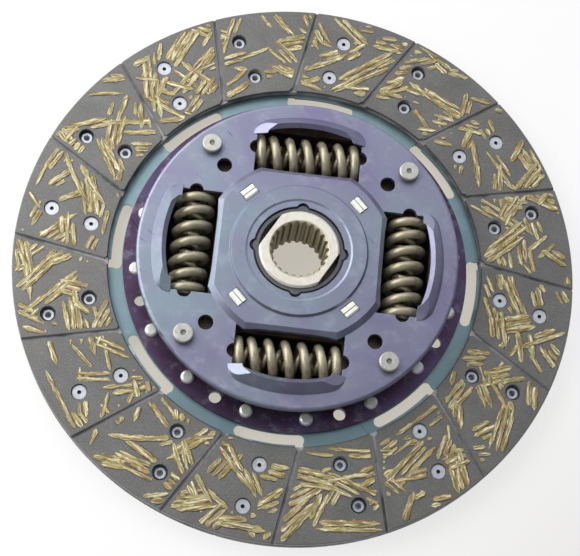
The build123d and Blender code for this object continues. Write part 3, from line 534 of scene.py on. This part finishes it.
def grown(tree, name, values):
    """Plain mesh object from a geometry tree whose inputs are given by name."""
    carrier = bpy.data.objects.new(name, bpy.data.meshes.new(name))
    bpy.context.scene.collection.objects.link(carrier)
    modifier = carrier.modifiers.new("grown", "NODES")
    modifier.node_group = tree
    for item in tree.interface.items_tree:
        if item.in_out == "INPUT":
            modifier[item.identifier] = values[item.name]
    graph = bpy.context.evaluated_depsgraph_get()
    mesh = bpy.data.meshes.new_from_object(carrier.evaluated_get(graph))
    carrier.modifiers.remove(modifier)
    carrier.data = mesh
    mesh.name = name
    return carrier


def wind_yarns():
    """Yarns of both facings."""
    tree = yarn_tree()
    for side, face, lift, seed in (
        ("front", face_height, yarn_lift, 30),
        ("rear", 0.0, -yarn_lift, 80),
    ):
        yarns = grown(tree, f"{side}_facing_yarns", {
            "Facing": nodes[f"{side}_facing"], "Bundles": bundle_count, "Yarn width": yarn_width,
            "Yarn height": yarn_height, "Face": face, "Lift": lift, "Seed": seed,
        })
        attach(yarns, "driven_plates")


def seat_springs():
    """Copies of the damper springs, each set on its moving body in place of the part, which is hidden."""
    for kind, joint, body, keep in (
        ("outer", "main_damper", "driven_plates", main_spring_kept),
        ("inner", "main_damper", "driven_plates", main_spring_kept),
        ("predamper", "predamper", "sprung_flange", small_spring_kept),
    ):
        for number in range(1, 5):
            name = f"{kind}_spring_{number}"
            mesh = nodes[name].data.copy()
            mesh.name = f"squeezed_{name}"
            mesh.transform(nodes[name].matrix_world)
            spring = bpy.data.objects.new(mesh.name, mesh)
            bpy.context.scene.collection.objects.link(spring)
            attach(spring, body)
            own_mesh(spring)
            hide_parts(name)


def set_camera():
    """Camera at the photograph's view of the disc."""
    data = bpy.data.cameras.new("camera")
    data.lens = view_lens
    data.sensor_width = 36.0
    data.sensor_fit = "HORIZONTAL"
    camera = bpy.data.objects.new("camera", data)
    bpy.context.scene.collection.objects.link(camera)
    camera.matrix_world = (
        Matrix.Translation(view_target)
        @ Matrix.Rotation(radians(-view_azimuth), 4, "Z")
        @ Matrix.Rotation(radians(90 - view_elevation), 4, "X")
        @ Matrix.Rotation(radians(view_roll), 4, "Z")
        @ Matrix.Translation((0, 0, view_distance)))
    bpy.context.scene.camera = camera


def lamp(name, place, width, height, power):
    """Soft lamp that points at the disc."""
    data = bpy.data.lights.new(name, "AREA")
    data.shape = "RECTANGLE"
    data.size = width
    data.size_y = height
    data.energy = power
    light = bpy.data.objects.new(name, data)
    bpy.context.scene.collection.objects.link(light)
    light.location = place
    light.rotation_euler = (-Vector(place)).to_track_quat("-Z", "Y").to_euler()


def set_floor():
    """White table with the disc's shadow, painted shade under the disc and painted grey away from the
    lamps.
    """
    corners = ((-1, -1), (1, -1), (1, 1), (-1, 1))
    mesh = bpy.data.meshes.new("floor")
    mesh.from_pydata([(x * table_reach, y * table_reach, 0) for x, y in corners], [], [(0, 1, 2, 3)])
    floor = bpy.data.objects.new("floor", mesh)
    bpy.context.scene.collection.objects.link(floor)
    floor.location.z = table_height
    material = bpy.data.materials.new("white_table")
    material.use_nodes = True
    tree = material.node_tree
    shader = tree.nodes["Principled BSDF"]
    shader.inputs["Roughness"].default_value = 0.9
    put = partial(add, tree)
    place = put("ShaderNodeTexCoord")["Object"]
    radius = put(VECTOR, {0: place}, operation="LENGTH")[1]
    # The table is painted near-black between the hub and the slots: painted shade, for no light comes down
    # there past the springs
    beyond = put(RANGE, {0: radius, 1: 61 * MM, 2: 64 * MM})[0]
    within = put(RANGE, {0: radius, 1: 16 * MM, 2: 14 * MM})[0]
    bright = put(MATH, {0: beyond, 1: within}, operation="MAXIMUM")[0]
    ground = put(MIX, {0: bright, 6: "#1c1b1a", 7: table_white}, data_type="RGBA")[2]
    tree.links.new(ground, shader.inputs["Base Color"])
    # What looks at the table is given part of its white, so that it stays pale around and through the disc
    seen = put("ShaderNodeLightPath")
    looks = put(MATH, {0: seen["Is Camera Ray"], 1: seen["Is Glossy Ray"]}, operation="MAXIMUM")[0]
    looks = put(MATH, {0: looks, 1: seen["Is Transmission Ray"]}, operation="MAXIMUM")[0]
    amount = put(MATH, {0: looks, 1: bright}, operation="MULTIPLY")[0]
    amount = put(MATH, {0: amount, 1: 0.78}, operation="MULTIPLY")[0]
    # The glow is painted warm grey under the disc and greyer away from the lamps: painted shade
    around = put(RANGE, {0: radius, 1: 84 * MM, 2: 95 * MM})[0]
    white = put(MIX, {0: around, 6: "#d3cec2", 7: "#ffffff"}, data_type="RGBA")[2]
    away = put(VECTOR, {0: place, 1: (0.75, -0.65, 0.0)}, operation="DOT_PRODUCT")[1]
    away = put(RANGE, {0: away, 1: 0.09, 2: 0.24, 4: 0.8})[0]
    white = put(MIX, {0: away, 6: white, 7: "#d2cfc9"}, data_type="RGBA")[2]
    glow = put("ShaderNodeEmission", {"Color": white, "Strength": 1.0})[0]
    mixed = put("ShaderNodeMixShader", {0: amount, 1: shader.outputs[0], 2: glow})[0]
    tree.links.new(mixed, tree.nodes["Material Output"].inputs["Surface"])
    mesh.materials.append(material)


def set_light():
    """Wide soft window beyond the disc, a low lamp at the left, and a world that is palest beyond."""
    for name, settings in lamps.items():
        lamp(name, *settings)
    world = bpy.data.worlds.new("studio")
    world.use_nodes = True
    tree = world.node_tree
    put = partial(add, tree)
    direction = put("ShaderNodeTexCoord")["Generated"]
    beyond = put(VECTOR, {0: direction, 1: (0.3, 0.78, 0.55)}, operation="DOT_PRODUCT")[1]
    beyond = put(RANGE, {0: beyond, 1: 0.55, 2: 0.83, 3: 0.18, 4: 1.0})[0]
    nearer = put(VECTOR, {0: direction, 1: (0.0, -0.55, 0.83)}, operation="DOT_PRODUCT")[1]
    nearer = put(RANGE, {0: nearer, 1: 0.8, 2: 0.97, 4: 0.45})[0]
    strength = put(MATH, {0: beyond, 1: nearer}, operation="ADD")[0]
    # What looks past the table's edge sees plain white
    seen = put("ShaderNodeLightPath")
    strength = put(MATH, {0: strength, 1: seen["Is Camera Ray"]}, operation="MAXIMUM")[0]
    background = tree.nodes["Background"]
    background.inputs["Color"].default_value = linear("#eef1f8")
    tree.links.new(strength, background.inputs["Strength"])
    bpy.context.scene.world = world
    bpy.context.scene.view_settings.view_transform = "Standard"


dress_frame()
wind_yarns()
seat_springs()
set_camera()
set_floor()
set_light()
